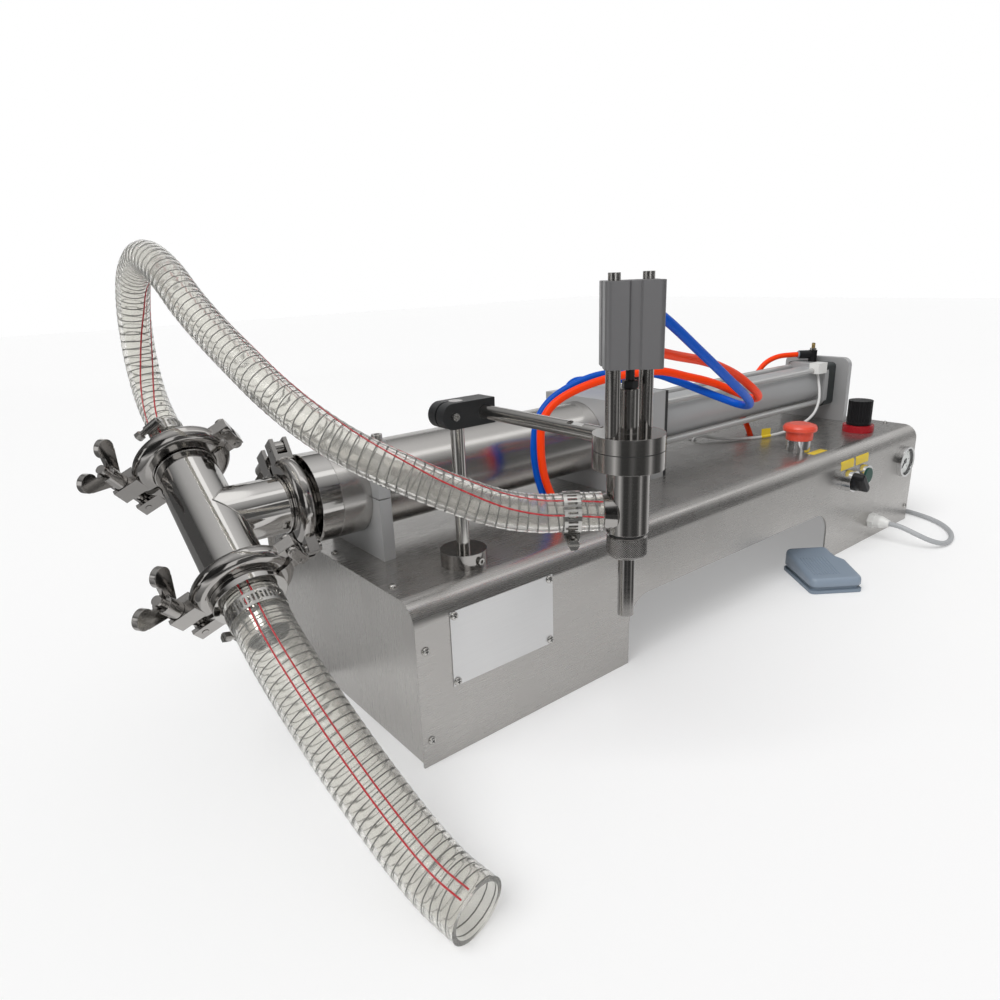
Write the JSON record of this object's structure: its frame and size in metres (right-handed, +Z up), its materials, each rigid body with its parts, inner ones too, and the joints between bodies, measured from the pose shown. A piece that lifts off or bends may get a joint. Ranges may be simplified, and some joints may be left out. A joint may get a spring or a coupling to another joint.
{
  "type": "pneumatic liquid filling machine",
  "caption": "Bench piston filler: stainless casing with a product cylinder and air cylinder, tee with clamps and clear hoses, nozzle on an adjustable post, controls and foot pedal.",
  "frame": {"origin": "on the bench, at the middle of the casing's footprint", "axes": "+X along the casing to the control end, +Y away from the operator, +Z up"},
  "size_m": [1.1257, 0.5867, 0.4311],
  "materials": {
    "stainless_sheet": "brushed",
    "polished_steel": "polished",
    "turned_steel": "fine turned",
    "grey_aluminium": "satin anodised",
    "black_metal": "satin",
    "fastener_steel": "plain",
    "plate_aluminium": "satin",
    "clear_hose": "clear",
    "air_tube": "satin",
    "black_plastic": "satin",
    "red_plastic": "gloss",
    "bezel_chrome": "polished",
    "green_plastic": "gloss",
    "white_plastic": "satin",
    "grey_cable": "matte",
    "pedal_plastic": "satin"
  },
  "bodies": {
    "root": {"casing": "stainless_sheet", "end_plates": "stainless_sheet", "tee": "polished_steel", "tube_end_cap": "polished_steel", "clamp_halves": "polished_steel", "clamp_hardware": "polished_steel", "hose_barbs": "polished_steel", "product_tube": "turned_steel", "post": "turned_steel", "post_collar": "turned_steel", "front_support": "grey_aluminium", "front_support_cap": "grey_aluminium", "centre_block": "grey_aluminium", "rear_bracket": "grey_aluminium", "cylinder_tube": "grey_aluminium", "tie_rods": "grey_aluminium", "valve_manifold": "grey_aluminium", "cylinder_caps": "black_metal", "fasteners": "fastener_steel", "hose_clamps": "fastener_steel", "nameplate": "plate_aluminium", "product_hose": "clear_hose", "suction_hose": "clear_hose", "actuator_tubes": "air_tube", "cylinder_air_tubes": "air_tube", "air_fittings": "black_plastic", "mains_plug": "black_plastic", "regulator_body": "red_plastic", "control_collars": "bezel_chrome", "gauge_case": "bezel_chrome", "cable_gland": "white_plastic", "reed_sensor": "white_plastic", "gaskets": "white_plastic", "mains_cable": "grey_cable", "mains_coil": "grey_cable", "sensor_cable": "grey_cable", "pedal_base": "pedal_plastic"},
    "piston": {"piston": "white_plastic", "piston_rod": "turned_steel"},
    "arm": {"cross_clamp": "black_metal", "arm_screws": "fastener_steel", "arm_rod": "turned_steel", "nozzle_flange": "turned_steel", "nozzle_body": "turned_steel", "nozzle_tip": "turned_steel", "nozzle_pillars": "turned_steel", "actuator": "grey_aluminium", "nozzle_hose_clamp": "fastener_steel"},
    "nozzle_stem": {"nozzle_stem": "black_metal"},
    "stop_head": {"stop_head": "red_plastic"},
    "selector_handle": {"selector_handle": "black_plastic"},
    "push_button": {"push_button": "green_plastic"},
    "regulator_knob": {"regulator_knob": "black_plastic"},
    "gauge_needle": {"gauge_needle": "black_plastic"},
    "pedal_treadle": {"pedal_treadle": "pedal_plastic"},
    "inlet_ball": {"inlet_ball": "polished_steel"},
    "outlet_ball": {"outlet_ball": "polished_steel"},
    "wing_nut_upper": {"wing_nut_upper": "polished_steel"},
    "wing_nut_lower": {"wing_nut_lower": "polished_steel"},
    "wing_nut_branch": {"wing_nut_branch": "polished_steel"}
  },
  "joints": [
    {"name": "piston_stroke", "type": "slide", "parent": "root", "child": "piston", "axis": [1, 0, 0], "range_m": [-0.25, 0]},
    {"name": "arm_height", "type": "slide", "parent": "root", "child": "arm", "axis": [0, 0, 1], "range_m": [-0.08, 0], "deforming": ["product_hose", "actuator_tubes"]},
    {"name": "nozzle_valve", "type": "slide", "parent": "arm", "child": "nozzle_stem", "axis": [0, 0, 1], "range_m": [0, 0.007]},
    {"name": "stop_press", "type": "slide", "parent": "root", "child": "stop_head", "axis": [0, 0, -1], "range_m": [0, 0.004]},
    {"name": "selector_turn", "type": "hinge", "parent": "root", "child": "selector_handle", "pos_m": [0.242, -0.162, 0.108], "axis": [0, 1, 0], "range_deg": [0, 90]},
    {"name": "button_press", "type": "slide", "parent": "root", "child": "push_button", "axis": [0, 1, 0], "range_m": [0, 0.003], "stiffness_N_per_m": 400, "springref_m": -0.002},
    {"name": "regulator_turn", "type": "hinge", "parent": "root", "child": "regulator_knob", "pos_m": [0.363, -0.102, 0.16], "axis": [0, 0, 1], "range_deg": [-360, 360]},
    {"name": "gauge_sweep", "type": "hinge", "parent": "root", "child": "gauge_needle", "pos_m": [0.418, -0.153, 0.101], "axis": [0, 1, 0], "range_deg": [0, 270], "stiffness_Nm_per_rad": 0.002, "springref_deg": -11.46},
    {"name": "pedal_press", "type": "hinge", "parent": "root", "child": "pedal_treadle", "pos_m": [0.15981, -0.15311, 0.015], "axis": [0.809, -0.5878, 0], "range_deg": [0, 3], "stiffness_Nm_per_rad": 8, "springref_deg": -2.86},
    {"name": "inlet_valve", "type": "slide", "parent": "root", "child": "inlet_ball", "axis": [0, 0.8387, 0.5446], "range_m": [0, 0.008]},
    {"name": "outlet_valve", "type": "slide", "parent": "root", "child": "outlet_ball", "axis": [0, 0.8387, 0.5446], "range_m": [0, 0.008]},
    {"name": "wing_nut_upper_turn", "type": "hinge", "parent": "root", "child": "wing_nut_upper", "pos_m": [-0.60771, 0.06001, 0.24463], "axis": [-0.5736, -0.4461, 0.687], "continuous": true},
    {"name": "wing_nut_lower_turn", "type": "hinge", "parent": "root", "child": "wing_nut_lower", "pos_m": [-0.60771, -0.05741, 0.16838], "axis": [-0.5736, -0.4461, 0.687], "continuous": true},
    {"name": "wing_nut_branch_turn", "type": "hinge", "parent": "root", "child": "wing_nut_branch", "pos_m": [-0.482, 0.05115, 0.23069], "axis": [0, 0.829, -0.5592], "continuous": true}
  ]
}
